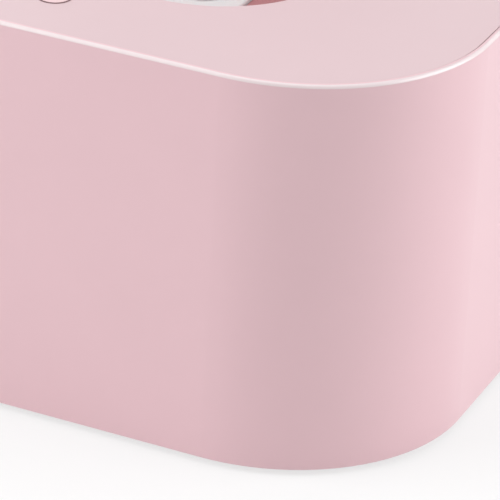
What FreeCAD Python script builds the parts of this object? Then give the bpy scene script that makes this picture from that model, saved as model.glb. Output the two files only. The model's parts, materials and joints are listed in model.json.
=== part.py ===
import FreeCAD, Part
import math
import os
import Sketcher

# Baby wipe warmer, in millimetres. X runs to the right, Y to the back, Z up.
# The origin is on the floor under the middle of the housing.
# The lid lies in the housing, and the flip cover stands open.

SIZES = {
    # Housing, whose thin rim stands a little above the lid's face at body_top
    "body_width": 191.0,
    "body_depth": 126.0,
    "body_top": 98.0,
    "rim_rise": 0.25,
    "corner_radius": 45.3,
    "shell_wall": 1.9,
    "rim_wall": 1.15,
    "rim_step": 0.2,
    "rim_round": 0.9,
    "ledge_width": 2.8,
    "ledge_height": 2.5,
    # Bottom: plate, feet and screws
    "foot_drop": 1.5,
    "foot_radius": 7.0,
    "foot_sink": 1.2,
    "foot_inset_x": 32.0,
    "foot_inset_y": 27.0,
    "base_thickness": 2.5,
    "base_gap": 0.2,
    "boss_radius": 4.0,
    "boss_height": 13.0,
    "boss_sink": 0.6,
    "base_shank_radius": 1.25,
    "base_head_radius": 2.6,
    "base_head_height": 1.4,
    "screw_play": 0.05,
    "recess_reach": 1.2,
    "recess_half_width": 0.3,
    "recess_depth": 0.7,
    "post_radius": 4.0,
    "post_inset_x": 32.0,
    "post_inset_y": 37.0,
    # Heating stack, from the posts of the base plate upward
    "stack_base": 20.5,
    "pad_thickness": 5.0,
    "pad_inset": 5.0,
    "film_thickness": 0.8,
    "film_inset": 10.0,
    "plate_thickness": 1.5,
    "plate_inset": 6.0,
    "sensor_window_x": 18.0,
    "sensor_window_y": 7.0,
    "thermistor_radius": 2.2,
    "thermistor_length": 3.0,
    "thermistor_x": 9.0,
    "fuse_radius": 1.6,
    "fuse_length": 10.0,
    "fuse_x": -8.0,
    # Tub and insulation
    "tub_wall": 1.6,
    "tub_floor": 1.6,
    "tub_floor_round": 3.5,
    "flange_thickness": 2.0,
    "flange_gap": 0.3,
    "wrap_thickness": 4.0,
    "wrap_gap": 0.3,
    "wrap_height": 56.0,
    "wrap_lift": 2.0,
    # Lid plate and its seal
    "lid_thickness": 2.4,
    "lid_gap": 0.4,
    "lid_edge_round": 0.15,
    "seal_thickness": 1.3,
    "seal_gap": 0.1,
    "seal_width": 3.0,
    "seal_inset": 1.0,
    # Opening in the lid, a long hole with round ends, and the pan under it
    "opening_reach": 20.5,
    "opening_radius": 30.0,
    "opening_front": 30.3,
    "opening_round": 0.8,
    "pan_depth": 11.0,
    "pan_wall": 1.6,
    "pan_floor": 1.8,
    "rest_width": 1.8,
    "rest_drop": 3.0,
    # Soft mouth in the floor of the pan
    "mouth_half_length": 30.0,
    "mouth_half_depth": 20.0,
    "mouth_corner": 6.0,
    "mouth_flange": 1.2,
    "mouth_lap": 4.0,
    "mouth_play": 0.1,
    "mouth_hook": 2.0,
    "slot_reach": 18.0,
    "slot_radius": 4.5,
    "lip_width": 2.5,
    "lip_height": 1.6,
    # Flip cover and its hinge
    "cover_gap": 0.6,
    "cover_thickness": 2.6,
    "cover_round": 0.6,
    "cover_open_angle": 100.0,
    "cover_seal_width": 1.0,
    "cover_seal_height": 0.3,
    "cover_seal_inset": 0.4,
    "hinge_offset": 5.2,
    "hinge_radius": 3.0,
    "hinge_half_length": 23.1,
    "hinge_side_gap": 0.4,
    "hinge_back_gap": 0.9,
    "hinge_floor_gap": 0.6,
    "hinge_ear": 4.0,
    "hinge_wall": 1.8,
    "pin_radius": 1.0,
    "pin_play": 0.05,
    "pin_end_gap": 0.5,
    # Catch on the cover, latch slide and release button
    "catch_half_width": 2.5,
    "catch_thickness": 1.8,
    "catch_nose": 1.2,
    "catch_nose_height": 1.5,
    "catch_gap": 0.5,
    "button_inset": 19.2,
    "button_radius": 3.85,
    "button_gap": 0.35,
    "button_travel": 1.2,
    "button_cap": 1.0,
    "button_round": 0.3,
    "stem_radius": 1.6,
    "stem_play": 0.15,
    "collar_wall": 1.0,
    "collar_thickness": 1.0,
    "spring_room": 2.6,
    "spring_radius": 2.7,
    "spring_wire": 0.22,
    "spring_turns": 2.5,
    "slide_drop": 1.45,
    "slide_thickness": 1.8,
    "slide_half_width": 8.0,
    "slide_front": 3.1,
    "nose_half_width": 3.0,
    "nose_thickness": 1.4,
    "nose_reach": 1.4,
    "window_gap": 0.3,
    "blade_half_width": 1.0,
    "blade_depth": 1.2,
    "blade_below": 0.2,
    "blade_shift": 0.6,
    "blade_play": 0.15,
    "guide_gap": 0.2,
    "guide_thickness": 1.8,
    "guide_half_width": 13.6,
    "guide_front": 4.7,
    "guide_notch": 1.6,
    "latch_boss_radius": 2.4,
    "latch_boss_x": 10.8,
    "latch_boss_shift": 0.4,
    "latch_shank_radius": 0.95,
    "latch_shank_length": 6.0,
    "latch_head_radius": 2.0,
    "latch_head_height": 1.2,
    # Control board at the back and what stands on it
    "board_half_width": 31.0,
    "board_depth": 27.6,
    "board_back_gap": 3.2,
    "board_thickness": 1.6,
    "standoff_height": 2.6,
    "standoff_radius": 3.0,
    "board_screw_inset": 4.0,
    "board_shank_radius": 1.1,
    "board_shank_length": 4.4,
    "board_head_radius": 2.2,
    "board_head_height": 1.3,
    "inlet_half_width": 4.6,
    "inlet_length": 13.0,
    "inlet_height": 10.6,
    "inlet_back_gap": 0.3,
    "inlet_rise": 5.8,
    "inlet_snout_radius": 4.3,
    "inlet_snout_set": 0.3,
    "inlet_bore_radius": 2.85,
    "inlet_bore_depth": 9.5,
    "inlet_pin_radius": 1.05,
    "inlet_pin_set": 1.0,
    "wall_hole_play": 0.15,
    "power_x": 20.0,
    "power_rise": 5.0,
    "power_radius": 4.0,
    "power_gap": 0.35,
    "power_flange": 1.1,
    "power_flange_thickness": 1.2,
    "power_flange_gap": 0.4,
    "power_stem_radius": 1.6,
    "power_travel": 0.6,
    "power_contact_gap": 0.15,
    "switch_half_width": 3.0,
    "switch_length": 3.5,
    "switch_height": 7.6,
    "switch_gap": 2.6,
    "switch_plunger_radius": 1.4,
    "lens_x": -20.0,
    "lens_radius": 2.0,
    "lens_inside": 1.0,
    "led_gap": 0.4,
    "led_radius": 1.5,
    "led_length": 4.0,
    "chip_x": -8.0,
    "chip_set": 10.0,
    "chip_width": 10.0,
    "chip_height": 2.3,
    "capacitor_x": 9.0,
    "capacitor_set": 6.5,
    "capacitor_radius": 4.0,
    "capacitor_height": 9.0,
    "connector_x": -23.0,
    "connector_set": 10.0,
    "connector_width": 8.0,
    "connector_depth": 5.0,
    "connector_height": 6.0,
    "lead_radius": 0.7,
    "lead_spacing": 4.0,
    "lead_hole_play": 0.6,
}

doc = FreeCAD.newDocument("wipe_warmer")
dims = doc.addObject("Spreadsheet::Sheet", "dims")
for row, (alias, size) in enumerate(SIZES.items(), start=1):
    dims.set(f"A{row}", alias)
    dims.set(f"B{row}", str(size))
    dims.setAlias(f"B{row}", alias)
doc.recompute()


def of(text):
    """An expression on the sheet: every word of the text is one of its sizes."""
    words = []
    for word in text.replace("(", " ( ").replace(")", " ) ").split():
        words.append(f"dims.{word}" if word in SIZES else word)
    return "(" + " ".join(words) + ")"


def number(expression):
    return float(dims.evalExpression(expression))


# Places that several pieces share
FOOT_X = of("body_width / 2 - foot_inset_x")
FOOT_Y = of("body_depth / 2 - foot_inset_y")
POST_X = of("body_width / 2 - post_inset_x")
POST_Y = of("body_depth / 2 - post_inset_y")
OPENING_Y = of("opening_front + opening_radius - body_depth / 2")
OPENING_BACK = of("opening_front + 2 * opening_radius - body_depth / 2")
BUTTON_Y = of("button_inset - body_depth / 2")
BOTTOM = of("foot_drop")
TOP = of("body_top")
RIM_TOP = of("body_top + rim_rise")
BASE_TOP = of("foot_drop + base_thickness")
PAD_TOP = of("stack_base + pad_thickness")
FILM_TOP = of("stack_base + pad_thickness + film_thickness")
PLATE_TOP = of("stack_base + pad_thickness + film_thickness + plate_thickness")
LID_UNDER = of("body_top - lid_thickness")
FLANGE_TOP = of("body_top - lid_thickness - seal_thickness - seal_gap")
FLANGE_UNDER = of("body_top - lid_thickness - seal_thickness - seal_gap - flange_thickness")
TUB_INSET = of("shell_wall + wrap_thickness + 2 * wrap_gap")
PAN_TOP = of("body_top - rest_drop")
PAN_FLOOR_TOP = of("body_top - pan_depth")
PAN_UNDER = of("body_top - pan_depth - pan_floor")
PAN_INNER = of("opening_radius - rest_width")
PAN_OUTER = of("opening_radius + pan_wall")
AXIS_Y = f"({OPENING_BACK} + {of('hinge_offset')})"
AXIS_Z = of("body_top - hinge_radius")
NOTCH_BACK = f"({AXIS_Y} + {of('hinge_radius + hinge_back_gap')})"
TROUGH_FLOOR = of("body_top - 2 * hinge_radius - hinge_floor_gap")
NOTCH_HALF = of("hinge_half_length + hinge_side_gap")
COLLAR_TOP = of("body_top - button_cap - spring_room")
COLLAR_UNDER = of("body_top - button_cap - spring_room - collar_thickness")
SLIDE_TOP = of("body_top - button_cap - spring_room - collar_thickness - slide_drop")
SLIDE_UNDER = f"({SLIDE_TOP} - {of('slide_thickness')})"
GUIDE_TOP = f"({SLIDE_UNDER} - {of('guide_gap')})"
GUIDE_UNDER = f"({GUIDE_TOP} - {of('guide_thickness')})"
PAN_FRONT_OUTER = f"({OPENING_Y} - {PAN_OUTER})"
PAN_FRONT_INNER = f"({OPENING_Y} - {PAN_INNER})"
NOSE_TIP = f"({PAN_FRONT_INNER} + {of('nose_reach')})"
CATCH_FRONT = f"({NOSE_TIP} + {of('catch_gap')})"
REAR_INNER = of("body_depth / 2 - shell_wall")
REAR_OUTER = of("body_depth / 2")
BOARD_UNDER = of("foot_drop + base_thickness + standoff_height")
BOARD_TOP = of("foot_drop + base_thickness + standoff_height + board_thickness")
BOARD_BACK = of("body_depth / 2 - shell_wall - board_back_gap")
BOARD_FRONT = f"({BOARD_BACK} - {of('board_depth')})"
CHIP_Y = f"({BOARD_FRONT} + {of('chip_set')})"
CAPACITOR_Y = f"({BOARD_FRONT} + {of('capacitor_set')})"
CONNECTOR_Y = f"({BOARD_FRONT} + {of('connector_set')})"
INLET_Z = f"({BOARD_TOP} + {of('inlet_rise')})"
POWER_Z = f"({BOARD_TOP} + {of('power_rise')})"
BOSS_OUT = f"({of('corner_radius - shell_wall - boss_radius + boss_sink')} * sqrt(0.5))"
BOSS_X = f"({of('body_width / 2 - corner_radius')} + {BOSS_OUT})"
BOSS_Y = f"({of('body_depth / 2 - corner_radius')} + {BOSS_OUT})"


# Sketching

def sketch_on(body, name, level, plane="XY_Plane"):
    sketch = body.newObject("Sketcher::SketchObject", name)
    support = [item for item in body.Origin.OriginFeatures if item.Role == plane][0]
    sketch.AttachmentSupport = (support, "")
    sketch.MapMode = "FlatFace"
    sketch.setExpression("AttachmentOffset.Base.z", level)
    return sketch


def dimension(sketch, kind, refs, expression):
    index = sketch.addConstraint(Sketcher.Constraint(kind, *refs, number(expression)))
    sketch.setExpression(f"Constraints[{index}]", expression)


def place_point(sketch, geometry, point, x, y):
    """Hold a point at x, y from the origin of the sketch."""
    for kind, axis, value in (("DistanceX", -2, x), ("DistanceY", -1, y)):
        size = number(value)
        if abs(size) < 1e-9:
            sketch.addConstraint(Sketcher.Constraint("PointOnObject", geometry, point, axis))
        elif size > 0:
            dimension(sketch, kind, (-1, 1, geometry, point), value)
        else:
            dimension(sketch, kind, (geometry, point, -1, 1), f"-{value}")


def polygon(sketch, corners):
    points = [FreeCAD.Vector(number(x), number(y), 0) for x, y in corners]
    first = sketch.GeometryCount
    count = len(points)
    for index in range(count):
        sketch.addGeometry(Part.LineSegment(points[index], points[(index + 1) % count]))
    for index in range(count):
        following = first + (index + 1) % count
        sketch.addConstraint(Sketcher.Constraint("Coincident", first + index, 2, following, 1))
    for index, (x, y) in enumerate(corners):
        place_point(sketch, first + index, 1, x, y)


def rectangle(sketch, half_x, front, back):
    left = f"-{half_x}"
    polygon(sketch, [(left, front), (half_x, front), (half_x, back), (left, back)])


def circle(sketch, x, y, radius):
    centre = FreeCAD.Vector(number(x), number(y), 0)
    index = sketch.addGeometry(Part.Circle(centre, FreeCAD.Vector(0, 0, 1), number(radius)))
    place_point(sketch, index, 3, x, y)
    dimension(sketch, "Radius", (index,), radius)


def arcs_and_lines(sketch, centres, radius):
    """A closed outline of equal arcs, counter-clockwise, joined by tangent lines."""
    size = number(radius)
    count = len(centres)
    spots = [FreeCAD.Vector(number(x), number(y), 0) for x, y in centres]
    sweep = 360.0 / count
    first = sketch.GeometryCount
    arcs = []
    for index, spot in enumerate(spots):
        start = sweep * index - (0.0 if count == 4 else 90.0)
        round_edge = Part.Circle(spot, FreeCAD.Vector(0, 0, 1), size)
        arcs.append(Part.ArcOfCircle(round_edge, math.radians(start), math.radians(start + sweep)))
        sketch.addGeometry(arcs[-1])
    for index in range(count):
        following = arcs[(index + 1) % count]
        sketch.addGeometry(Part.LineSegment(arcs[index].EndPoint, following.StartPoint))
    for index in range(count):
        arc, line, following = first + index, first + count + index, first + (index + 1) % count
        sketch.addConstraint(Sketcher.Constraint("Tangent", arc, 2, line, 1))
        sketch.addConstraint(Sketcher.Constraint("Tangent", line, 2, following, 1))
    for index, (x, y) in enumerate(centres):
        place_point(sketch, first + index, 3, x, y)
        dimension(sketch, "Radius", (first + index,), radius)


def rounded_outline(sketch, inset):
    """The housing's outline in plan, moved inward by an inset."""
    x = of("body_width / 2 - corner_radius")
    y = of("body_depth / 2 - corner_radius")
    corners = [(x, y), (f"-{x}", y), (f"-{x}", f"-{y}"), (x, f"-{y}")]
    arcs_and_lines(sketch, corners, f"({of('corner_radius')} - {inset})")


def long_hole(sketch, reach, radius):
    """A long outline with round ends, about the middle of the opening."""
    arcs_and_lines(sketch, [(reach, OPENING_Y), (f"-{reach}", OPENING_Y)], radius)


def mouth_outline(sketch, inset):
    """The soft mouth's outline in plan, moved inward by an inset."""
    x = of("mouth_half_length - mouth_corner")
    half_depth = of("mouth_half_depth - mouth_corner")
    back = f"({OPENING_Y} + {half_depth})"
    front = f"({OPENING_Y} - {half_depth})"
    corners = [(x, back), (f"-{x}", back), (f"-{x}", front), (x, front)]
    arcs_and_lines(sketch, corners, f"({of('mouth_corner')} - {inset})")


# Solids

def body_named(label):
    body = doc.addObject("PartDesign::Body", label)
    body.Label = label
    return body


def feature(body, kind, sketch, length, turned=False, both_ways=False):
    item = body.newObject(f"PartDesign::{kind}", f"{sketch.Name}_{kind.lower()}")
    item.Profile = sketch
    item.setExpression("Length", length)
    item.Reversed = turned
    item.Midplane = both_ways
    sketch.Visibility = False
    doc.recompute()
    return item


def pad(body, sketch, length, **options):
    return feature(body, "Pad", sketch, length, **options)


def pocket(body, sketch, length, **options):
    return feature(body, "Pocket", sketch, length, **options)


def loop_edges(item, level, inner=False):
    """Names of the edges around the largest flat face at a height: its outer or its inner loops."""
    flat = [face for face in item.Shape.Faces
            if face.BoundBox.ZLength < 1e-6 and abs(face.BoundBox.ZMax - level) < 1e-6]
    face = max(flat, key=lambda shape: shape.OuterWire.BoundBox.DiagonalLength)
    wires = [wire for wire in face.Wires if wire.isSame(face.OuterWire) != inner]
    chosen = [edge for wire in wires for edge in wire.Edges]
    return [f"Edge{index}" for index, edge in enumerate(item.Shape.Edges, start=1)
            if any(edge.isSame(other) for other in chosen)]


def rounding(body, item, names, radius):
    fillet = body.newObject("PartDesign::Fillet", f"{item.Name}_round")
    fillet.Base = (item, names)
    fillet.setExpression("Radius", radius)
    doc.recompute()
    return fillet


def place(item, x="0", y="0", z="0"):
    for axis, value in zip("xyz", (x, y, z)):
        item.setExpression(f"Placement.Base.{axis}", value)


def cylinder(name, radius, height, x, y, z, axis="z"):
    item = doc.addObject("Part::Cylinder", name)
    item.setExpression("Radius", radius)
    item.setExpression("Height", height)
    turns = {"z": (0, 0, 1, 0), "x": (0, 1, 0, 90), "y": (1, 0, 0, -90)}
    *around, angle = turns[axis]
    item.Placement.Rotation = FreeCAD.Rotation(FreeCAD.Vector(*around), angle)
    place(item, x, y, z)
    return item


def block(name, half_x, x, front, depth, z, height):
    item = doc.addObject("Part::Box", name)
    item.setExpression("Length", f"2 * {half_x}")
    item.setExpression("Width", depth)
    item.setExpression("Height", height)
    place(item, f"{x} - {half_x}", front, z)
    return item


def fused(name, items):
    item = doc.addObject("Part::MultiFuse", name)
    item.Shapes = items
    return item


def cut(name, base, tool):
    item = doc.addObject("Part::Cut", name)
    item.Base = base
    item.Tool = tool
    return item


def group(name, items):
    item = doc.addObject("Part::Compound", name)
    item.Links = items
    return item


def four_ways(x, y):
    return [(x, y), (f"-{x}", y), (f"-{x}", f"-{y}"), (x, f"-{y}")]


# Housing

def make_outer_shell():
    body = body_named("outer_shell")
    wall = sketch_on(body, "shell_wall", BOTTOM)
    rounded_outline(wall, "0")
    rounded_outline(wall, of("shell_wall"))
    solid = pad(body, wall, f"{RIM_TOP} - {BOTTOM}")
    rounding(body, solid, loop_edges(solid, number(RIM_TOP)), of("rim_round"))
    rebate = sketch_on(body, "shell_rebate", RIM_TOP)
    rounded_outline(rebate, of("rim_wall"))
    pocket(body, rebate, f"{RIM_TOP} - {LID_UNDER} + {of('rim_step')}")

    # The ledge carries the tub's flange all round.
    ledge = sketch_on(body, "shell_ledge", FLANGE_UNDER)
    rounded_outline(ledge, of("shell_wall / 2"))
    rounded_outline(ledge, of("shell_wall + ledge_width"))
    pad(body, ledge, of("ledge_height"), turned=True)

    bosses = sketch_on(body, "shell_bosses", BASE_TOP)
    for x, y in four_ways(BOSS_X, BOSS_Y):
        circle(bosses, x, y, of("boss_radius"))
    pad(body, bosses, of("boss_height"))
    holes = sketch_on(body, "shell_boss_holes", BASE_TOP)
    for x, y in four_ways(BOSS_X, BOSS_Y):
        circle(holes, x, y, of("base_shank_radius + screw_play"))
    pocket(body, holes, of("boss_height - boss_radius"), turned=True)

    # Holes in the back wall for the inlet, the power button and the indicator.
    back = sketch_on(body, "shell_back_holes", f"-{REAR_OUTER}", "XZ_Plane")
    circle(back, "0", INLET_Z, of("inlet_snout_radius + wall_hole_play"))
    circle(back, of("power_x"), POWER_Z, of("power_radius + power_gap"))
    circle(back, of("lens_x"), POWER_Z, of("lens_radius + wall_hole_play / 2"))
    pocket(body, back, of("4 * shell_wall"), both_ways=True)
    return body


def make_base_plate():
    body = body_named("base_plate")
    plate = sketch_on(body, "base_outline", BOTTOM)
    rounded_outline(plate, of("shell_wall + base_gap"))
    pad(body, plate, of("base_thickness"))

    posts = sketch_on(body, "base_posts", BASE_TOP)
    for x, y in four_ways(POST_X, POST_Y):
        circle(posts, x, y, of("post_radius"))
    pad(body, posts, f"{of('stack_base')} - {BASE_TOP}")

    standoffs = sketch_on(body, "base_standoffs", BASE_TOP)
    for x, y in board_corners():
        circle(standoffs, x, y, of("standoff_radius"))
    pad(body, standoffs, of("standoff_height"))
    holes = sketch_on(body, "base_standoff_holes", BOARD_UNDER)
    for x, y in board_corners():
        circle(holes, x, y, of("board_shank_radius + screw_play"))
    pocket(body, holes, of("board_shank_length - board_thickness"))

    feet = sketch_on(body, "base_foot_seats", BOTTOM)
    for x, y in four_ways(FOOT_X, FOOT_Y):
        circle(feet, x, y, of("foot_radius"))
    pocket(body, feet, of("foot_sink"), turned=True)
    through = sketch_on(body, "base_screw_holes", BOTTOM)
    for x, y in four_ways(BOSS_X, BOSS_Y):
        circle(through, x, y, of("base_shank_radius + screw_play"))
    pocket(body, through, of("base_thickness"), turned=True)
    heads = sketch_on(body, "base_screw_seats", BOTTOM)
    for x, y in four_ways(BOSS_X, BOSS_Y):
        circle(heads, x, y, of("base_head_radius + screw_play"))
    pocket(body, heads, of("base_head_height"), turned=True)
    return body


def make_rubber_feet():
    feet = []
    for index, (x, y) in enumerate(four_ways(FOOT_X, FOOT_Y), start=1):
        feet.append(cylinder(f"foot_{index}", of("foot_radius"), of("foot_drop + foot_sink"), x, y, "0"))
    return group("rubber_feet", feet)


def screws(name, places, seat, head, shank, upward):
    """Screws with a cross in a round head on its seat; the shank runs up or down from there."""
    head_radius, head_height = head
    shank_radius, shank_length = shank
    long, half, deep = of("recess_reach"), of("recess_half_width"), of("recess_depth")
    made = []
    for index, (x, y) in enumerate(places, start=1):
        low_head = f"{seat} - {head_height}" if upward else seat
        low_shank = seat if upward else f"{seat} - {shank_length}"
        low_recess = low_head if upward else f"{seat} + {head_height} - {deep}"
        top = cylinder(f"{name}_head_{index}", head_radius, head_height, x, y, low_head)
        pin = cylinder(f"{name}_shank_{index}", shank_radius, shank_length, x, y, low_shank)
        bar = block(f"{name}_bar_{index}", long, x, f"{y} - {half}", f"2 * {half}", low_recess, deep)
        cross = block(f"{name}_cross_{index}", half, x, f"{y} - {long}", f"2 * {long}", low_recess, deep)
        solid = fused(f"{name}_solid_{index}", [top, pin])
        made.append(cut(f"{name}_{index}", solid, fused(f"{name}_recess_{index}", [bar, cross])))
    return group(name, made)


def make_base_screws():
    seat = of("foot_drop + base_head_height")
    head = (of("base_head_radius"), of("base_head_height"))
    length = of("base_thickness - base_head_height + boss_height - boss_radius - boss_sink")
    return screws("base_screws", four_ways(BOSS_X, BOSS_Y), seat, head,
                  (of("base_shank_radius"), length), True)


def make_inner_tub():
    body = body_named("inner_tub")
    outside = sketch_on(body, "tub_outside", PLATE_TOP)
    rounded_outline(outside, TUB_INSET)
    solid = pad(body, outside, f"{FLANGE_TOP} - {PLATE_TOP}")
    rounding(body, solid, loop_edges(solid, number(PLATE_TOP)), of("tub_floor_round"))
    flange = sketch_on(body, "tub_flange", FLANGE_UNDER)
    rounded_outline(flange, of("shell_wall + flange_gap"))
    pad(body, flange, of("flange_thickness"))
    inside = sketch_on(body, "tub_inside", FLANGE_TOP)
    rounded_outline(inside, f"({TUB_INSET} + {of('tub_wall')})")
    floor = f"({PLATE_TOP} + {of('tub_floor')})"
    hollow = pocket(body, inside, f"{FLANGE_TOP} - {floor}")
    rounding(body, hollow, loop_edges(hollow, number(floor)), of("tub_floor_round - tub_floor"))
    return body


def stack_layer(label, level, thickness, inset, window=False):
    """One flat layer of the heating stack under the tub."""
    body = body_named(label)
    outline = sketch_on(body, f"{label}_outline", level)
    rounded_outline(outline, f"({TUB_INSET} + {inset})")
    if window:
        rectangle(outline, of("sensor_window_x"), of("-1 * sensor_window_y"), of("sensor_window_y"))
    pad(body, outline, thickness)
    return body


def lead_places():
    half = of("lead_spacing / 2")
    x, y = of("connector_x"), CONNECTOR_Y
    return [(f"({x} - {half})", y), (f"({x} + {half})", y)]


def make_heating_stack():
    pad_body = stack_layer("insulation_pad", of("stack_base"), of("pad_thickness"), of("pad_inset"), True)
    holes = sketch_on(pad_body, "pad_lead_holes", PAD_TOP)
    for x, y in lead_places():
        circle(holes, x, y, of("lead_radius + lead_hole_play"))
    pocket(pad_body, holes, of("pad_thickness"))
    film = stack_layer("heater_film", PAD_TOP, of("film_thickness"), of("film_inset"), True)
    plate = stack_layer("heating_plate", FILM_TOP, of("plate_thickness"), of("plate_inset"))
    low = f"{FILM_TOP} - {of('thermistor_length')}"
    bead = cylinder("thermistor", of("thermistor_radius"), of("thermistor_length"),
                    of("thermistor_x"), "0", low)
    fuse = cylinder("thermal_fuse", of("fuse_radius"), of("fuse_length"),
                    of("fuse_x - fuse_length / 2"), "0", f"{FILM_TOP} - {of('fuse_radius')}", "x")
    leads = []
    start = f"({BOARD_TOP} + {of('connector_height')})"
    for index, (x, y) in enumerate(lead_places(), start=1):
        leads.append(cylinder(f"lead_{index}", of("lead_radius"), f"{PAD_TOP} - {start}", x, y, start))
    return [pad_body, film, plate, bead, fuse, group("heater_leads", leads)]


def make_insulation_wrap():
    body = body_named("insulation_wrap")
    ring = sketch_on(body, "wrap_ring", f"({PLATE_TOP} + {of('wrap_lift')})")
    rounded_outline(ring, of("shell_wall + wrap_gap"))
    rounded_outline(ring, of("shell_wall + wrap_gap + wrap_thickness"))
    pad(body, ring, of("wrap_height"))
    return body


# Control board

def board_corners():
    inset = of("board_screw_inset")
    x = f"({of('board_half_width')} - {inset})"
    front = f"({BOARD_FRONT} + {inset})"
    back = f"({BOARD_BACK} - {inset})"
    return [(x, front), (f"-{x}", front), (f"-{x}", back), (x, back)]


def make_control_board():
    body = body_named("control_board")
    outline = sketch_on(body, "board_outline", BOARD_UNDER)
    rectangle(outline, of("board_half_width"), BOARD_FRONT, BOARD_BACK)
    for x, y in board_corners():
        circle(outline, x, y, of("board_shank_radius + screw_play"))
    pad(body, outline, of("board_thickness"))
    head = (of("board_head_radius"), of("board_head_height"))
    shank = (of("board_shank_radius"), of("board_shank_length"))
    fixings = screws("board_screws", board_corners(), BOARD_TOP, head, shank, False)
    chip = block("driver_chip", of("chip_width / 2"), of("chip_x"), f"{CHIP_Y} - {of('chip_width / 2')}",
                 of("chip_width"), BOARD_TOP, of("chip_height"))
    can = cylinder("smoothing_capacitor", of("capacitor_radius"), of("capacitor_height"),
                   of("capacitor_x"), CAPACITOR_Y, BOARD_TOP)
    plug = block("heater_connector", of("connector_width / 2"), of("connector_x"),
                 f"{CONNECTOR_Y} - {of('connector_depth / 2')}", of("connector_depth"), BOARD_TOP,
                 of("connector_height"))
    return [body, fixings, chip, can, plug]


def make_power_inlet():
    back = of("body_depth / 2 - shell_wall - inlet_back_gap")
    mouth = of("body_depth / 2 - inlet_snout_set")
    case = block("inlet_case", of("inlet_half_width"), "0", f"{back} - {of('inlet_length')}",
                 of("inlet_length"), BOARD_TOP, of("inlet_height"))
    snout = cylinder("inlet_snout", of("inlet_snout_radius"), f"{mouth} - {back}", "0", back, INLET_Z, "y")
    bore = cylinder("inlet_bore", of("inlet_bore_radius"), of("inlet_bore_depth"),
                    "0", f"{mouth} - {of('inlet_bore_depth')}", INLET_Z, "y")
    pin = cylinder("inlet_pin", of("inlet_pin_radius"), of("inlet_bore_depth - inlet_pin_set"),
                   "0", f"{mouth} - {of('inlet_bore_depth')}", INLET_Z, "y")
    hollow = cut("inlet_socket", fused("inlet_solid", [case, snout]), bore)
    return fused("power_inlet", [hollow, pin])


def make_power_button():
    flange_back = of("body_depth / 2 - shell_wall - power_flange_gap")
    flange_front = f"({flange_back} - {of('power_flange_thickness')})"
    contact = f"({BOARD_BACK} - {of('switch_gap')} + {of('switch_plunger_radius')})"
    stem_front = f"({contact} + {of('power_travel + power_contact_gap')})"
    cap = cylinder("power_cap", of("power_radius"), f"{REAR_OUTER} - {flange_back}",
                   of("power_x"), flange_back, POWER_Z, "y")
    flange = cylinder("power_flange", of("power_radius + power_flange"), of("power_flange_thickness"),
                      of("power_x"), flange_front, POWER_Z, "y")
    stem = cylinder("power_stem", of("power_stem_radius"), f"{flange_front} - {stem_front}",
                    of("power_x"), stem_front, POWER_Z, "y")
    button = fused("power_button", [cap, flange, stem])

    # The switch stands on the board; its plunger ends one plunger radius behind the case.
    case = block("switch_case", of("switch_half_width"), of("power_x"),
                 f"{BOARD_BACK} - {of('switch_gap + switch_length')}", of("switch_length"),
                 BOARD_TOP, of("switch_height"))
    plunger = cylinder("switch_plunger", of("switch_plunger_radius"), of("switch_plunger_radius"),
                       of("power_x"), f"{BOARD_BACK} - {of('switch_gap')}", POWER_Z, "y")
    switch = fused("tact_switch", [case, plunger])
    return [button, switch]


def make_indicator():
    inside = f"({REAR_INNER} - {of('lens_inside')})"
    lens = cylinder("indicator_lens", of("lens_radius"), f"{REAR_OUTER} - {inside}",
                    of("lens_x"), inside, POWER_Z, "y")
    lamp_end = f"({inside} - {of('led_gap')})"
    bulb = cylinder("led_bulb", of("led_radius"), of("led_length"), of("lens_x"),
                    f"{lamp_end} - {of('led_length')}", POWER_Z, "y")
    holder = block("led_holder", of("led_radius"), of("lens_x"), f"{lamp_end} - {of('led_length')}",
                   of("led_radius"), BOARD_TOP, of("power_rise"))
    return [lens, fused("indicator_led", [bulb, holder])]


# Lid

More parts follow.
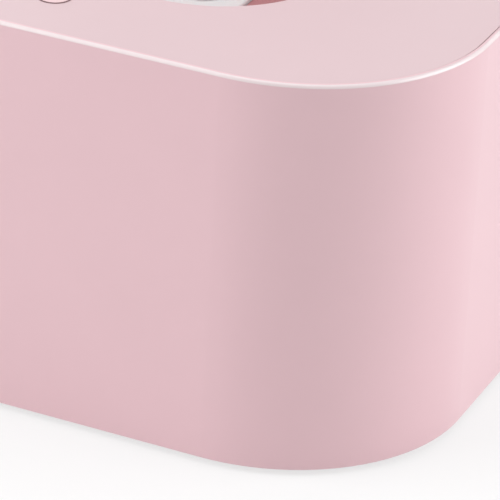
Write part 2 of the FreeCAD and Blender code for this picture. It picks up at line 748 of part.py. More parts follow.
def make_lid_panel():
    body = body_named("lid_panel")
    plate = sketch_on(body, "lid_plate", LID_UNDER)
    rounded_outline(plate, of("rim_wall + lid_gap"))
    solid = pad(body, plate, of("lid_thickness"))
    rounding(body, solid, loop_edges(solid, number(TOP)), of("lid_edge_round"))

    # The pan under the opening, and the trough of the cover's hinge behind it.
    outside = sketch_on(body, "pan_outside", LID_UNDER)
    long_hole(outside, of("opening_reach"), PAN_OUTER)
    pad(body, outside, f"{LID_UNDER} - {PAN_UNDER}", turned=True)
    trough = sketch_on(body, "trough_outside", LID_UNDER)
    rectangle(trough, f"({NOTCH_HALF} + {of('hinge_ear')})", OPENING_BACK,
              f"({NOTCH_BACK} + {of('hinge_wall')})")
    pad(body, trough, f"{LID_UNDER} - ({TROUGH_FLOOR} - {of('hinge_wall')})", turned=True)

    # The collar guides the button's stem; two bosses take the guide's screws.
    collar = sketch_on(body, "button_collar", LID_UNDER)
    circle(collar, "0", BUTTON_Y, of("button_radius + button_gap + collar_wall"))
    pad(body, collar, f"{LID_UNDER} - {COLLAR_UNDER}", turned=True)
    bosses = sketch_on(body, "latch_bosses", LID_UNDER)
    for x, y in latch_boss_places():
        circle(bosses, x, y, of("latch_boss_radius"))
    pad(body, bosses, f"{LID_UNDER} - {GUIDE_TOP}", turned=True)

    opening = sketch_on(body, "lid_opening", TOP)
    long_hole(opening, of("opening_reach"), of("opening_radius"))
    hole = pocket(body, opening, of("rest_drop"))
    rounding(body, hole, loop_edges(hole, number(TOP), inner=True), of("opening_round"))
    inside = sketch_on(body, "pan_inside", PAN_TOP)
    long_hole(inside, of("opening_reach"), PAN_INNER)
    pocket(body, inside, f"{PAN_TOP} - {PAN_FLOOR_TOP}")
    mouth = sketch_on(body, "mouth_hole", PAN_FLOOR_TOP)
    mouth_outline(mouth, of("mouth_lap"))
    pocket(body, mouth, of("pan_floor"))

    notch = sketch_on(body, "hinge_notch", TOP)
    rectangle(notch, NOTCH_HALF, OPENING_Y, NOTCH_BACK)
    pocket(body, notch, of("rest_drop"))
    hollow = sketch_on(body, "trough_inside", TOP)
    rectangle(hollow, NOTCH_HALF, f"({OPENING_BACK} + {of('pan_wall')})", NOTCH_BACK)
    pocket(body, hollow, f"{TOP} - {TROUGH_FLOOR}")
    pin = sketch_on(body, "lid_pin_hole", "0", "YZ_Plane")
    circle(pin, AXIS_Y, AXIS_Z, of("pin_radius + pin_play"))
    reach = f"({NOTCH_HALF} + {of('hinge_ear - pin_end_gap')})"
    pocket(body, pin, f"2 * {reach}", both_ways=True)

    button = sketch_on(body, "button_hole", TOP)
    circle(button, "0", BUTTON_Y, of("button_radius + button_gap"))
    pocket(body, button, f"{TOP} - {COLLAR_TOP}")
    stem = sketch_on(body, "stem_hole", COLLAR_TOP)
    circle(stem, "0", BUTTON_Y, of("stem_radius + stem_play"))
    pocket(body, stem, of("collar_thickness"))
    window = sketch_on(body, "latch_window", f"({SLIDE_TOP} + {of('window_gap')})")
    rectangle(window, of("nose_half_width + window_gap"), f"({PAN_FRONT_OUTER} - {of('pan_wall')})",
              f"({OPENING_Y} - {of('opening_radius / 2')})")
    pocket(body, window, of("nose_thickness + 2 * window_gap"))
    screw_holes = sketch_on(body, "latch_boss_holes", GUIDE_TOP)
    for x, y in latch_boss_places():
        circle(screw_holes, x, y, of("latch_shank_radius + screw_play"))
    pocket(body, screw_holes, of("latch_shank_length - guide_thickness"), turned=True)
    return body


def latch_boss_places():
    y = f"({BUTTON_Y} - {of('latch_boss_shift')})"
    return [(of("latch_boss_x"), y), (of("-1 * latch_boss_x"), y)]


def make_lid_seal():
    body = body_named("lid_seal")
    ring = sketch_on(body, "seal_ring", LID_UNDER)
    rounded_outline(ring, of("shell_wall + lid_gap + seal_inset"))
    rounded_outline(ring, of("shell_wall + lid_gap + seal_inset + seal_width"))
    pad(body, ring, of("seal_thickness"), turned=True)
    return body


def make_cover_seal():
    body = body_named("cover_seal")
    ring = sketch_on(body, "cover_seal_ring", PAN_TOP)
    outer = f"({PAN_INNER} + {of('cover_seal_inset')} + {of('cover_seal_width')})"
    long_hole(ring, of("opening_reach"), outer)
    long_hole(ring, of("opening_reach"), f"({PAN_INNER} + {of('cover_seal_inset')})")
    pad(body, ring, of("cover_seal_height"))
    return body


def make_dispensing_mouth():
    """A soft plate buttoned into the floor of the pan, with a raised lip around its slot."""
    body = body_named("dispensing_mouth")
    flange = sketch_on(body, "mouth_flange", PAN_FLOOR_TOP)
    mouth_outline(flange, "0")
    solid = pad(body, flange, of("mouth_flange"))
    level = number(PAN_FLOOR_TOP) + number(of("mouth_flange"))
    rounding(body, solid, loop_edges(solid, level), of("mouth_flange / 2"))
    neck = sketch_on(body, "mouth_neck", PAN_FLOOR_TOP)
    mouth_outline(neck, of("mouth_lap + mouth_play"))
    pad(body, neck, of("pan_floor"), turned=True)
    hook = sketch_on(body, "mouth_hook", PAN_UNDER)
    mouth_outline(hook, of("mouth_lap - mouth_hook"))
    pad(body, hook, of("mouth_flange"), turned=True)
    lip = sketch_on(body, "mouth_lip", f"({PAN_FLOOR_TOP} + {of('mouth_flange')})")
    long_hole(lip, of("slot_reach"), of("slot_radius + lip_width"))
    raised = pad(body, lip, of("lip_height"))
    level += number(of("lip_height"))
    rounding(body, raised, loop_edges(raised, level), of("lip_width / 2"))
    slot = sketch_on(body, "mouth_slot", f"({PAN_FLOOR_TOP} + {of('mouth_flange + lip_height')})")
    long_hole(slot, of("slot_reach"), of("slot_radius"))
    pocket(body, slot, of("lip_height + pan_floor + 2 * mouth_flange"))
    return body


def make_hinge_pin():
    reach = f"({NOTCH_HALF} + {of('hinge_ear - pin_end_gap')})"
    return cylinder("cover_hinge_pin", of("pin_radius"), f"2 * {reach}", f"-{reach}", AXIS_Y, AXIS_Z, "x")


def make_flip_cover():
    """Drawn closed, then swung open about its hinge."""
    body = body_named("flip_cover")
    under = of("body_top - cover_thickness")
    plate = sketch_on(body, "cover_plate", under)
    long_hole(plate, of("opening_reach"), of("opening_radius - cover_gap"))
    solid = pad(body, plate, of("cover_thickness"))
    rounding(body, solid, loop_edges(solid, number(TOP)), of("cover_round"))
    tongue = sketch_on(body, "cover_tongue", under)
    rectangle(tongue, of("hinge_half_length"), f"({OPENING_BACK} - {of('2 * hinge_radius')})", AXIS_Y)
    pad(body, tongue, of("cover_thickness"))
    barrel = sketch_on(body, "cover_barrel", "0", "YZ_Plane")
    circle(barrel, AXIS_Y, AXIS_Z, of("hinge_radius"))
    pad(body, barrel, of("2 * hinge_half_length"), both_ways=True)
    bore = sketch_on(body, "cover_bore", "0", "YZ_Plane")
    circle(bore, AXIS_Y, AXIS_Z, of("pin_radius + pin_play"))
    pocket(body, bore, of("2 * hinge_half_length + 2 * hinge_side_gap"), both_ways=True)

    # The catch hangs behind the latch nose and points forward under it.
    shoulder = f"({CATCH_FRONT} + {of('catch_nose')})"
    rear = f"({shoulder} + {of('catch_thickness')})"
    nose_top = f"({SLIDE_TOP} - {of('nose_thickness + window_gap')})"
    nose_low = f"({nose_top} - {of('catch_nose_height')})"
    catch = sketch_on(body, "cover_catch", "0", "YZ_Plane")
    polygon(catch, [(shoulder, of("body_top - cover_thickness / 2")), (shoulder, nose_top),
                    (CATCH_FRONT, nose_top), (shoulder, nose_low), (rear, nose_low),
                    (rear, of("body_top - cover_thickness / 2"))])
    pad(body, catch, of("2 * catch_half_width"), both_ways=True)

    axis = FreeCAD.Vector(0, number(AXIS_Y), number(AXIS_Z))
    swing = FreeCAD.Rotation(FreeCAD.Vector(1, 0, 0), -number(of("cover_open_angle")))
    body.Placement = FreeCAD.Placement(FreeCAD.Vector(), swing, axis)
    return body


# Latch

def blade_edge(level, forward):
    """The blade leans at 45 degrees: lower down it lies further back."""
    lean = f"({COLLAR_UNDER} - {level})"
    return f"({BUTTON_Y} - {of('blade_shift')} + {lean} {forward})"


def make_release_button():
    body = body_named("release_button")
    cap_under = of("body_top - button_cap")
    cap = sketch_on(body, "button_cap", cap_under)
    circle(cap, "0", BUTTON_Y, of("button_radius"))
    solid = pad(body, cap, of("button_cap"))
    rounding(body, solid, loop_edges(solid, number(TOP)), of("button_round"))
    stem = sketch_on(body, "button_stem", cap_under)
    circle(stem, "0", BUTTON_Y, of("stem_radius"))
    pad(body, stem, f"{cap_under} - {COLLAR_UNDER}", turned=True)
    low = f"({SLIDE_UNDER} - {of('blade_below')})"
    half = of("blade_depth / 2")
    root = f"({COLLAR_UNDER} + {half})"
    blade = sketch_on(body, "button_blade", "0", "YZ_Plane")
    front_root = blade_edge(COLLAR_UNDER, f"- {half}")
    back_root = blade_edge(COLLAR_UNDER, f"+ {half}")
    polygon(blade, [(front_root, root), (front_root, COLLAR_UNDER), (blade_edge(low, f"- {half}"), low),
                    (blade_edge(low, f"+ {half}"), low), (back_root, COLLAR_UNDER), (back_root, root)])
    pad(body, blade, of("2 * blade_half_width"), both_ways=True)
    return body


def make_latch_slide():
    body = body_named("latch_slide")
    front = f"({BUTTON_Y} - {of('slide_front')})"
    back = f"({PAN_FRONT_OUTER} - {of('window_gap')})"
    bar = sketch_on(body, "slide_bar", SLIDE_UNDER)
    rectangle(bar, of("slide_half_width"), front, back)
    pad(body, bar, of("slide_thickness"))
    nose = sketch_on(body, "slide_nose", SLIDE_TOP)
    rectangle(nose, of("nose_half_width"), front, NOSE_TIP)
    pad(body, nose, of("nose_thickness"), turned=True)
    half = of("blade_depth / 2 + blade_play")
    above = f"({SLIDE_TOP} + {of('slide_drop / 2')})"
    below = f"({SLIDE_UNDER} - {of('guide_gap')})"
    slot = sketch_on(body, "slide_slot", "0", "YZ_Plane")
    polygon(slot, [(blade_edge(above, f"- {half}"), above), (blade_edge(below, f"- {half}"), below),
                   (blade_edge(below, f"+ {half}"), below), (blade_edge(above, f"+ {half}"), above)])
    pocket(body, slot, of("2 * blade_half_width + 2 * blade_play"), both_ways=True)
    return body


def make_latch_guide():
    body = body_named("latch_guide")
    front = f"({BUTTON_Y} - {of('guide_front')})"
    back = f"({PAN_FRONT_OUTER} - {of('window_gap')})"
    notch = of("guide_notch")
    pressed_front = blade_edge(f"({GUIDE_TOP} + {of('button_travel')})", f"- {of('blade_depth / 2')}")
    notch_front = f"({pressed_front} - {of('window_gap')})"
    half = of("guide_half_width")
    plate = sketch_on(body, "guide_plate", GUIDE_UNDER)
    polygon(plate, [(f"-{half}", front), (half, front), (half, back), (notch, back),
                    (notch, notch_front), (f"-{notch}", notch_front), (f"-{notch}", back),
                    (f"-{half}", back)])
    for x, y in latch_boss_places():
        circle(plate, x, y, of("latch_shank_radius + screw_play"))
    pad(body, plate, of("guide_thickness"))
    head = (of("latch_head_radius"), of("latch_head_height"))
    shank = (of("latch_shank_radius"), of("latch_shank_length - screw_play"))
    return [body, screws("latch_screws", latch_boss_places(), GUIDE_UNDER, head, shank, True)]


def make_button_spring():
    """Open coils around the stem, between the collar and the cap, as one tube of quarter turns."""
    wire = number(of("spring_wire"))
    radius = number(of("spring_radius")) - wire
    rise = number(of("spring_room")) - 2 * wire
    quarters = int(4 * number(of("spring_turns")))

    def along(quarter):
        angle = math.pi / 2 * quarter
        return FreeCAD.Vector(radius * math.cos(angle), radius * math.sin(angle), rise * quarter / quarters)

    arcs = [Part.Arc(along(step), along(step + 0.5), along(step + 1)) for step in range(quarters)]
    path = Part.Wire([arc.toShape() for arc in arcs])
    start = arcs[0].tangent(arcs[0].FirstParameter)[0]
    profile = Part.Wire([Part.makeCircle(wire, along(0), start)])
    coil = Part.BRepOffsetAPI.MakePipeShell(path)
    coil.add(profile)
    coil.build()
    coil.makeSolid()
    spring = doc.addObject("Part::Feature", "button_spring")
    spring.Shape = coil.shape()
    place(spring, "0", BUTTON_Y, f"{COLLAR_TOP} + {of('spring_wire')}")
    gap = rise / number(of("spring_turns")) - 2 * wire
    print(f"button_spring: least gap between turns {gap:.2f} mm")
    return spring


pieces = [
    make_outer_shell(), make_base_plate(), make_rubber_feet(), make_base_screws(), make_inner_tub(),
    make_insulation_wrap(), *make_heating_stack(), *make_control_board(), make_power_inlet(),
    *make_power_button(), *make_indicator(), make_lid_panel(), make_lid_seal(), make_cover_seal(),
    make_dispensing_mouth(), make_hinge_pin(), make_flip_cover(), make_release_button(),
    make_latch_slide(), *make_latch_guide(), make_button_spring(),
]
doc.recompute()

for item in doc.Objects:
    if "Invalid" in item.State or "Error" in item.State:
        raise RuntimeError(f"{item.Label} did not recompute")

os.makedirs("parts", exist_ok=True)
for piece in pieces:
    if piece.Shape.isNull() or not piece.Shape.isValid():
        raise RuntimeError(f"{piece.Label} has no valid shape")
    piece.Shape.exportStep(f"parts/{piece.Label}.step")
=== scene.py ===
import json
import math

import bmesh
import bpy
from mathutils import Matrix, Vector


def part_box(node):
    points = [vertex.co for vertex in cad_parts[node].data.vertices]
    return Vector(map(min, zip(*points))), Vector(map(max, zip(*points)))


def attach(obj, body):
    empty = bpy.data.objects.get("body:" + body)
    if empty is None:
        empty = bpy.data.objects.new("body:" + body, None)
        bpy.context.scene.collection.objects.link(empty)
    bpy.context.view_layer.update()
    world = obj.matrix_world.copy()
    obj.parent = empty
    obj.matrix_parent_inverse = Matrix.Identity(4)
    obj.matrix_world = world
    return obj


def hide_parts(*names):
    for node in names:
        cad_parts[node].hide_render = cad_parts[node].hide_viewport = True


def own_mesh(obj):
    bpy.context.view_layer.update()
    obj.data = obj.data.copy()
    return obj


# Baby wipe warmer: looks, light and camera, in metres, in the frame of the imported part.

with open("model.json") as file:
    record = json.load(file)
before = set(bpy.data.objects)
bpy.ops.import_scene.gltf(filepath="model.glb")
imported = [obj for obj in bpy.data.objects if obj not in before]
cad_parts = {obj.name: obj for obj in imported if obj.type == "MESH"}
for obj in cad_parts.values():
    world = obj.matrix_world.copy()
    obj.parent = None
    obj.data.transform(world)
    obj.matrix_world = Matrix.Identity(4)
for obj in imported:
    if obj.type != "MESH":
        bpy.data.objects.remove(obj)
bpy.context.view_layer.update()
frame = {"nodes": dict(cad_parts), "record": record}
nodes = frame["nodes"]

# Surfaces. Colours are linear.

PINK = (0.700, 0.462, 0.500)
# The lid colour is paler and less saturated than the shell's pink: painted sheen, the whiter look of the
# top faces under the lamps.
PINK_LID_SHEEN = (0.645, 0.490, 0.514)
# The rim colour is a painted highlight on the shell's rounded rim.
PINK_RIM_HIGHLIGHT = (0.725, 0.620, 0.630)
PINK_BUTTON = (0.765, 0.560, 0.577)
PINK_DEEP = (0.660, 0.450, 0.485)
ROSE_SHADE = (0.385, 0.160, 0.169)
MAROON_SHADE = (0.170, 0.085, 0.092)
WHITE_PLASTIC = (0.800, 0.795, 0.785)
# The silicone colour is greyed down: partly the silicone's own off-white, partly painted shade of the
# recess around the mouth.
SILICONE_AND_SHADE = (0.665, 0.642, 0.648)
GREY_RUBBER = (0.300, 0.285, 0.285)
STEEL = (0.560, 0.560, 0.570)
ALUMINIUM = (0.700, 0.700, 0.710)
FILM = (0.420, 0.120, 0.030)
FOAM = (0.740, 0.735, 0.710)
BOARD = (0.012, 0.110, 0.035)
BLACK = (0.012, 0.012, 0.013)
RED_WIRE = (0.350, 0.012, 0.010)
LENS = (0.850, 0.700, 0.420)
WHITE = (1.0, 1.0, 1.0, 1.0)

TONE_SCALE = 35.0
TONE_DETAIL = 3.0
TONE_STOPS = (0.3, 0.7)
GRAIN_DETAIL = 2.0
GRAIN_DEPTH = 0.0002
ROUGHNESS_SPREAD = 0.04
COAT_ROUGHNESS = 0.25
SUBSURFACE_RADIUS = (0.004, 0.002, 0.002)
SUBSURFACE_SCALE = 0.3
HIGHLIGHT_STOPS = (0.2, 0.9)


def material(name, colour, roughness, grain=1800.0, bump=0.02, mottle=0.02, metallic=0.0,
             coat=0.0, specular=0.5, subsurface=0.0):
    """A surface with fine moulded or worked grain and a slight change of tone over it."""
    made = bpy.data.materials.new(name)
    made.use_nodes = True
    tree = made.node_tree
    shader = tree.nodes["Principled BSDF"]
    shader.inputs["Metallic"].default_value = metallic
    shader.inputs["Coat Weight"].default_value = coat
    shader.inputs["Coat Roughness"].default_value = COAT_ROUGHNESS
    shader.inputs["Specular IOR Level"].default_value = specular
    shader.inputs["Subsurface Weight"].default_value = subsurface
    shader.inputs["Subsurface Radius"].default_value = SUBSURFACE_RADIUS
    shader.inputs["Subsurface Scale"].default_value = SUBSURFACE_SCALE

    place = tree.nodes.new("ShaderNodeTexCoord")
    tone = tree.nodes.new("ShaderNodeTexNoise")
    tone.inputs["Scale"].default_value = TONE_SCALE
    tone.inputs["Detail"].default_value = TONE_DETAIL
    tree.links.new(place.outputs["Object"], tone.inputs["Vector"])
    ramp = tree.nodes.new("ShaderNodeValToRGB")
    darker = [max(0.0, c * (1.0 - mottle)) for c in colour]
    lighter = [min(1.0, c * (1.0 + mottle)) for c in colour]
    for stop, position, shade in zip(ramp.color_ramp.elements, TONE_STOPS, (darker, lighter)):
        stop.position = position
        stop.color = (*shade, 1.0)
    tree.links.new(tone.outputs["Fac"], ramp.inputs["Fac"])
    tree.links.new(ramp.outputs["Color"], shader.inputs["Base Color"])

    fine = tree.nodes.new("ShaderNodeTexNoise")
    fine.inputs["Scale"].default_value = grain
    fine.inputs["Detail"].default_value = GRAIN_DETAIL
    tree.links.new(place.outputs["Object"], fine.inputs["Vector"])
    spread = tree.nodes.new("ShaderNodeMapRange")
    spread.inputs["To Min"].default_value = max(0.0, roughness - ROUGHNESS_SPREAD)
    spread.inputs["To Max"].default_value = min(1.0, roughness + ROUGHNESS_SPREAD)
    tree.links.new(fine.outputs["Fac"], spread.inputs["Value"])
    tree.links.new(spread.outputs["Result"], shader.inputs["Roughness"])
    relief = tree.nodes.new("ShaderNodeBump")
    relief.inputs["Strength"].default_value = bump
    relief.inputs["Distance"].default_value = GRAIN_DEPTH
    tree.links.new(fine.outputs["Fac"], relief.inputs["Height"])
    tree.links.new(relief.outputs["Normal"], shader.inputs["Normal"])
    return made


def painted_rim_highlight(made, colour, top, depth):
    """Paints a highlight: lightens a surface over the rounding of its rim, from just under the top down to
    a depth.
    """
    tree = made.node_tree
    shader = tree.nodes["Principled BSDF"]
    place = tree.nodes.new("ShaderNodeTexCoord")
    split = tree.nodes.new("ShaderNodeSeparateXYZ")
    tree.links.new(place.outputs["Object"], split.inputs["Vector"])
    height = tree.nodes.new("ShaderNodeMapRange")
    height.inputs["From Min"].default_value = top - depth
    height.inputs["From Max"].default_value = top
    tree.links.new(split.outputs["Z"], height.inputs["Value"])
    share = tree.nodes.new("ShaderNodeValToRGB")
    stops = share.color_ramp.elements
    stops[0].position = 0.0
    stops[1].position = 1.0
    stops[1].color = (0.0, 0.0, 0.0, 1.0)
    for position in HIGHLIGHT_STOPS:
        stops.new(position).color = WHITE
    tree.links.new(height.outputs["Result"], share.inputs["Fac"])
    mix = tree.nodes.new("ShaderNodeMixRGB")
    plain = shader.inputs["Base Color"].links[0].from_socket
    tree.links.new(share.outputs["Color"], mix.inputs["Fac"])
    tree.links.new(plain, mix.inputs["Color1"])
    mix.inputs["Color2"].default_value = (*colour, 1.0)
    tree.links.new(mix.outputs["Color"], shader.inputs["Base Color"])


materials = {
    "pink_plastic": material("pink_plastic", PINK, 0.3, bump=0.03, mottle=0.008, specular=1.0),
    "pink_shell": material("pink_shell", PINK, 0.3, bump=0.03, mottle=0.008, specular=1.0),
    "pink_lid": material("pink_lid", PINK_LID_SHEEN, 0.55, bump=0.03, mottle=0.008, specular=0.5),
    "pink_button": material("pink_button", PINK_BUTTON, 0.45, bump=0.03, mottle=0.008),
    "pink_underside": material("pink_underside", PINK_DEEP, 0.5, bump=0.08, mottle=0.02),
    "rose_painted_shade": material("rose_painted_shade", ROSE_SHADE, 0.6, grain=1400.0, bump=0.1, mottle=0.05),
    "maroon_painted_shade": material("maroon_painted_shade", MAROON_SHADE, 0.6, grain=1400.0, bump=0.08, mottle=0.05),
    "white_plastic": material("white_plastic", WHITE_PLASTIC, 0.4, bump=0.03, mottle=0.01),
    "white_silicone": material("white_silicone", SILICONE_AND_SHADE, 0.55, grain=1200.0, bump=0.05, subsurface=0.2),
    "grey_rubber": material("grey_rubber", GREY_RUBBER, 0.75, grain=900.0, bump=0.15, mottle=0.05),
    "steel": material("steel", STEEL, 0.3, grain=2500.0, bump=0.05, metallic=1.0),
    "aluminium": material("aluminium", ALUMINIUM, 0.35, grain=1500.0, bump=0.06, metallic=1.0),
    "heater_film": material("heater_film", FILM, 0.35, grain=600.0, bump=0.05, mottle=0.1),
    "white_foam": material("white_foam", FOAM, 0.95, grain=700.0, bump=0.5, mottle=0.06, specular=0.2),
    "board_green": material("board_green", BOARD, 0.4, grain=900.0, bump=0.05, mottle=0.15),
    "black_plastic": material("black_plastic", BLACK, 0.42, bump=0.05, mottle=0.1),
    "red_wire": material("red_wire", RED_WIRE, 0.45, bump=0.03, mottle=0.05),
    "amber_lens": material("amber_lens", LENS, 0.2, bump=0.01, coat=0.4),
}
RIM_ROUND = 0.0009
# The shell's rim rounding gets a painted highlight: a paler pink band in its base colour.
painted_rim_highlight(materials["pink_shell"], PINK_RIM_HIGHLIGHT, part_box("outer_shell")[1].z, RIM_ROUND)

slot_of = {entry["node"]: entry["material_slot"] for entry in frame["record"]["subparts"]}
OWN_LOOK = {"outer_shell": "pink_shell", "base_plate": "pink_underside", "lid_panel": "pink_lid",
            "flip_cover": "pink_lid", "release_button": "pink_button"}
for name, node in nodes.items():
    node.data.materials.clear()
    node.data.materials.append(materials[OWN_LOOK.get(name, slot_of[name])])


# Thin soft pieces on the lid, which the solids leave out. Both are painted shade: a dark sheet on the pan
# floor and a dark ring over the gap around the button.

OUTLINE_POINTS = 96
SOFT_EDGE = 0.00006
SOFT_EDGE_STEPS = 2


def rounded_points(middle, half_x, half_y, radius):
    """A plan outline with round corners; with no straight ends it is a long hole."""
    points = []
    for index in range(OUTLINE_POINTS):
        angle = 2.0 * math.pi * (index + 0.5) / OUTLINE_POINTS
        x = math.copysign(half_x - radius, math.cos(angle)) + radius * math.cos(angle)
        y = math.copysign(half_y - radius, math.sin(angle)) + radius * math.sin(angle)
        points.append((middle[0] + x, middle[1] + y))
    return points


def flat_ring(name, outer, inner, low, high, look, body):
    """A flat ring between two plan outlines with as many points each, with softened edges."""
    mesh = bmesh.new()
    loops = [[mesh.verts.new((x, y, z)) for x, y in outline]
             for outline, z in ((outer, low), (outer, high), (inner, high), (inner, low))]
    for start, following in zip(loops, loops[1:] + loops[:1]):
        for index in range(OUTLINE_POINTS):
            after = (index + 1) % OUTLINE_POINTS
            mesh.faces.new((start[index], start[after], following[after], following[index]))
    data = bpy.data.meshes.new(name)
    mesh.to_mesh(data)
    mesh.free()
    piece = bpy.data.objects.new(name, data)
    bpy.context.collection.objects.link(piece)
    edge = piece.modifiers.new("soft_edge", "BEVEL")
    edge.width = SOFT_EDGE
    edge.segments = SOFT_EDGE_STEPS
    edge.limit_method = "ANGLE"
    data.materials.append(materials[look])
    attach(piece, body)


PAN_FLOOR = 0.087
PAN_HALF_LENGTH = 0.0487
PAN_RADIUS = 0.0282
MOUTH_CORNER = 0.006
SHEET_CLEARANCE = 0.0002
SHEET_THICKNESS = 0.0003
mouth_low, mouth_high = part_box("dispensing_mouth")
opening_middle = (mouth_low + mouth_high) / 2.0
mouth_half = (mouth_high - mouth_low) / 2.0
sheet_radius = PAN_RADIUS - SHEET_CLEARANCE
# A dark rose sheet on the pan floor around the mouth: painted shade, standing for the shade inside the pan.
flat_ring("pan_shade_sheet",
          rounded_points(opening_middle, PAN_HALF_LENGTH - SHEET_CLEARANCE, sheet_radius, sheet_radius),
          rounded_points(opening_middle, mouth_half.x + SHEET_CLEARANCE, mouth_half.y + SHEET_CLEARANCE,
                         MOUTH_CORNER),
          PAN_FLOOR, PAN_FLOOR + SHEET_THICKNESS, "rose_painted_shade", "lid")

BUTTON_MIDDLE = (0.0, -0.0438)
BUTTON_HOLE_RADIUS = 0.0042
SHADE_RING_OVERLAP = 0.0001
SHADE_RING_REACH = 0.0003
SHADE_RING_HEIGHT = 0.00015
lid_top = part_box("lid_panel")[1].z
shade_ring_outer = BUTTON_HOLE_RADIUS + SHADE_RING_OVERLAP
shade_ring_inner = BUTTON_HOLE_RADIUS - SHADE_RING_REACH
# A thin dark maroon ring on the lid over the gap around the button: painted shade, standing for the shade
# in the gap.
flat_ring("button_gap_shade",
          rounded_points(BUTTON_MIDDLE, shade_ring_outer, shade_ring_outer, shade_ring_outer),
          rounded_points(BUTTON_MIDDLE, shade_ring_inner, shade_ring_inner, shade_ring_inner),
          lid_top, lid_top + SHADE_RING_HEIGHT, "maroon_painted_shade", "lid")


# The coil spring under the release button, drawn as a wound wire in place of the hidden solid spring.

SPRING_WIRE = 0.00022
SPRING_TURNS = 2.5
STEPS_IN_A_TURN = 32
WIRE_POINTS = 12


def coil_mesh(name, middle, radius, low, rise):
    """A round wire wound around an upright axis, as one closed tube; low is its lower end's middle."""
    steps = int(SPRING_TURNS * STEPS_IN_A_TURN)
    mesh = bmesh.new()
    rings = []
    for step in range(steps + 1):
        turn = 2.0 * math.pi * step / STEPS_IN_A_TURN
        level = low + rise * step / steps
        ring = []
        for point in range(WIRE_POINTS):
            around = 2.0 * math.pi * point / WIRE_POINTS
            reach = radius + SPRING_WIRE * math.cos(around)
            ring.append(mesh.verts.new((middle[0] + reach * math.cos(turn),
                                        middle[1] + reach * math.sin(turn),
                                        level + SPRING_WIRE * math.sin(around))))
        rings.append(ring)
    for start, following in zip(rings, rings[1:]):
        for point in range(WIRE_POINTS):
            after = (point + 1) % WIRE_POINTS
            mesh.faces.new((start[point], following[point], following[after], start[after])).smooth = True
    mesh.faces.new(rings[0])
    mesh.faces.new(rings[-1])
    bmesh.ops.recalc_face_normals(mesh, faces=mesh.faces)
    data = bpy.data.meshes.new(name)
    mesh.to_mesh(data)
    mesh.free()
    return data


spring_low, spring_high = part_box("button_spring")
coil_data = coil_mesh("button_coil", BUTTON_MIDDLE, (spring_high.x - spring_low.x) / 2.0 - SPRING_WIRE,
                      spring_low.z + SPRING_WIRE, spring_high.z - spring_low.z - 2.0 * SPRING_WIRE)
coil_data.materials.append(materials["steel"])
coil = bpy.data.objects.new("button_coil", coil_data)
bpy.context.collection.objects.link(coil)
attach(coil, "lid")
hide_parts("button_spring")
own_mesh(coil)


# Floor and surroundings: a white background, and soft studio light on the object.

def white_when_seen(tree, lit, white):
    """Mixes two shaders: the second is what the camera sees, also in metal and through glass."""
    path = tree.nodes.new("ShaderNodeLightPath")
    seen = path.outputs["Is Camera Ray"]
    for ray in ("Is Glossy Ray", "Is Transmission Ray"):
        either = tree.nodes.new("ShaderNodeMath")
        either.operation = "MAXIMUM"
        tree.links.new(seen, either.inputs[0])
        tree.links.new(path.outputs[ray], either.inputs[1])
        seen = either.outputs["Value"]
    mix = tree.nodes.new("ShaderNodeMixShader")
    tree.links.new(seen, mix.inputs["Fac"])
    tree.links.new(lit.outputs[0], mix.inputs[1])
    tree.links.new(white.outputs[0], mix.inputs[2])
    return mix


SURROUND_STRENGTH = 0.20
WHITE_STRENGTH = 1.0
world = bpy.data.worlds.new("studio")
bpy.context.scene.world = world
world.use_nodes = True
world.node_tree.nodes.clear()
surround = world.node_tree.nodes.new("ShaderNodeBackground")
surround.inputs["Color"].default_value = WHITE
surround.inputs["Strength"].default_value = SURROUND_STRENGTH
backdrop = world.node_tree.nodes.new("ShaderNodeBackground")
backdrop.inputs["Color"].default_value = WHITE
backdrop.inputs["Strength"].default_value = WHITE_STRENGTH
world_out = world.node_tree.nodes.new("ShaderNodeOutputWorld")
world_mix = white_when_seen(world.node_tree, surround, backdrop)
world.node_tree.links.new(world_mix.outputs[0], world_out.inputs["Surface"])

FLOOR_SIZE = 6.0
FLOOR_DROP = 0.0001
FLOOR_PALE = (0.82, 0.82, 0.82, 1.0)
SHADOW_SHARE = 0.3
SHADOW_NEAR = 0.25
SHADOW_FAR = 0.50
bpy.ops.mesh.primitive_plane_add(size=FLOOR_SIZE, location=(0.0, 0.0, -FLOOR_DROP))
floor = bpy.context.object
floor.name = "floor"
floor_look = bpy.data.materials.new("pale_floor")
floor_look.use_nodes = True
floor_tree = floor_look.node_tree
floor_tree.nodes.clear()
pale = floor_tree.nodes.new("ShaderNodeBsdfDiffuse")
pale.inputs["Color"].default_value = FLOOR_PALE
bright = floor_tree.nodes.new("ShaderNodeEmission")
bright.inputs["Color"].default_value = WHITE
bright.inputs["Strength"].default_value = WHITE_STRENGTH

# The white floor keeps a soft share of the object's shadow, which fades out around the object.
floor_place = floor_tree.nodes.new("ShaderNodeTexCoord")
distance = floor_tree.nodes.new("ShaderNodeVectorMath")
distance.operation = "LENGTH"
floor_tree.links.new(floor_place.outputs["Object"], distance.inputs[0])
whiteness = floor_tree.nodes.new("ShaderNodeMapRange")
whiteness.inputs["From Min"].default_value = SHADOW_NEAR
whiteness.inputs["From Max"].default_value = SHADOW_FAR
whiteness.inputs["To Min"].default_value = 1.0 - SHADOW_SHARE
whiteness.inputs["To Max"].default_value = 1.0
floor_tree.links.new(distance.outputs["Value"], whiteness.inputs["Value"])
shaded_white = floor_tree.nodes.new("ShaderNodeMixShader")
floor_tree.links.new(whiteness.outputs["Result"], shaded_white.inputs["Fac"])
floor_tree.links.new(pale.outputs[0], shaded_white.inputs[1])
floor_tree.links.new(bright.outputs[0], shaded_white.inputs[2])
floor_out = floor_tree.nodes.new("ShaderNodeOutputMaterial")
floor_mix = white_when_seen(floor_tree, pale, shaded_white)
floor_tree.links.new(floor_mix.outputs[0], floor_out.inputs["Surface"])
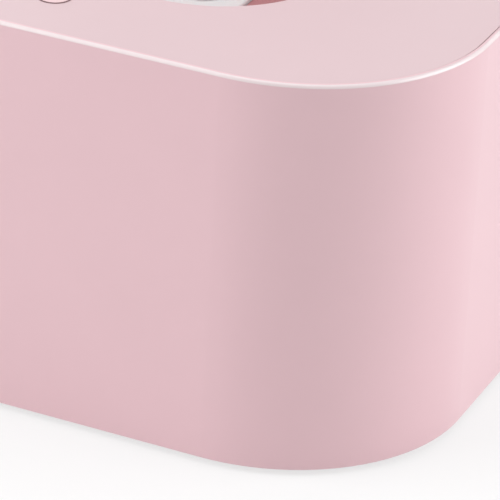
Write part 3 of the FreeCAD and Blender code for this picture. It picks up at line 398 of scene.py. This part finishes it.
floor.data.materials.append(floor_look)


MIDDLE = (0.0, 0.0, 0.06)
BOX_SIZE = 1.2
REAR_SIZE = 0.4


def soft_light(name, place, size, power):
    """A square soft box that faces the middle of the object; its power is in watts."""
    lamp = bpy.data.lights.new(name, "AREA")
    lamp.energy = power
    lamp.size = size
    holder = bpy.data.objects.new(name, lamp)
    bpy.context.collection.objects.link(holder)
    holder.location = place
    holder.rotation_euler = (Vector(MIDDLE) - Vector(place)).to_track_quat("-Z", "Y").to_euler()


soft_light("left_box", (-1.05, -0.80, 0.60), BOX_SIZE, 20.4)
soft_light("right_box", (1.25, 0.30, 0.50), BOX_SIZE, 16.2)
soft_light("top_box", (0.0, 0.10, 1.35), BOX_SIZE, 7.8)
soft_light("back_left_box", (-0.90, 0.80, 0.70), BOX_SIZE, 3.0)
soft_light("rear_box", (0.25, 1.20, 0.12), REAR_SIZE, 5.0)


# Camera at the photograph's place: turned left from +Y by YAW, tipped down by PITCH, rolled by ROLL.

YAW = math.radians(22.956)
PITCH = math.radians(27.248)
ROLL = math.radians(3.179)
LENS_MM = 306.12
SENSOR_MM = 36.0
CLIP_RANGE = (0.01, 50.0)
CAMERA_PLACE = (0.3867, -0.8354, 0.4893)

level_right = Vector((math.cos(YAW), math.sin(YAW), 0.0))
forward = Vector((-math.sin(YAW) * math.cos(PITCH), math.cos(YAW) * math.cos(PITCH), -math.sin(PITCH)))
level_up = level_right.cross(forward)
right = level_right * math.cos(ROLL) + level_up * math.sin(ROLL)
up = level_up * math.cos(ROLL) - level_right * math.sin(ROLL)
lens = bpy.data.cameras.new("camera")
lens.lens = LENS_MM
lens.sensor_width = SENSOR_MM
lens.clip_start, lens.clip_end = CLIP_RANGE
camera = bpy.data.objects.new("camera", lens)
bpy.context.collection.objects.link(camera)
camera.matrix_world = Matrix.Translation(CAMERA_PLACE) @ Matrix((right, up, -forward)).transposed().to_4x4()
bpy.context.scene.camera = camera

bpy.context.scene.view_settings.view_transform = "Standard"
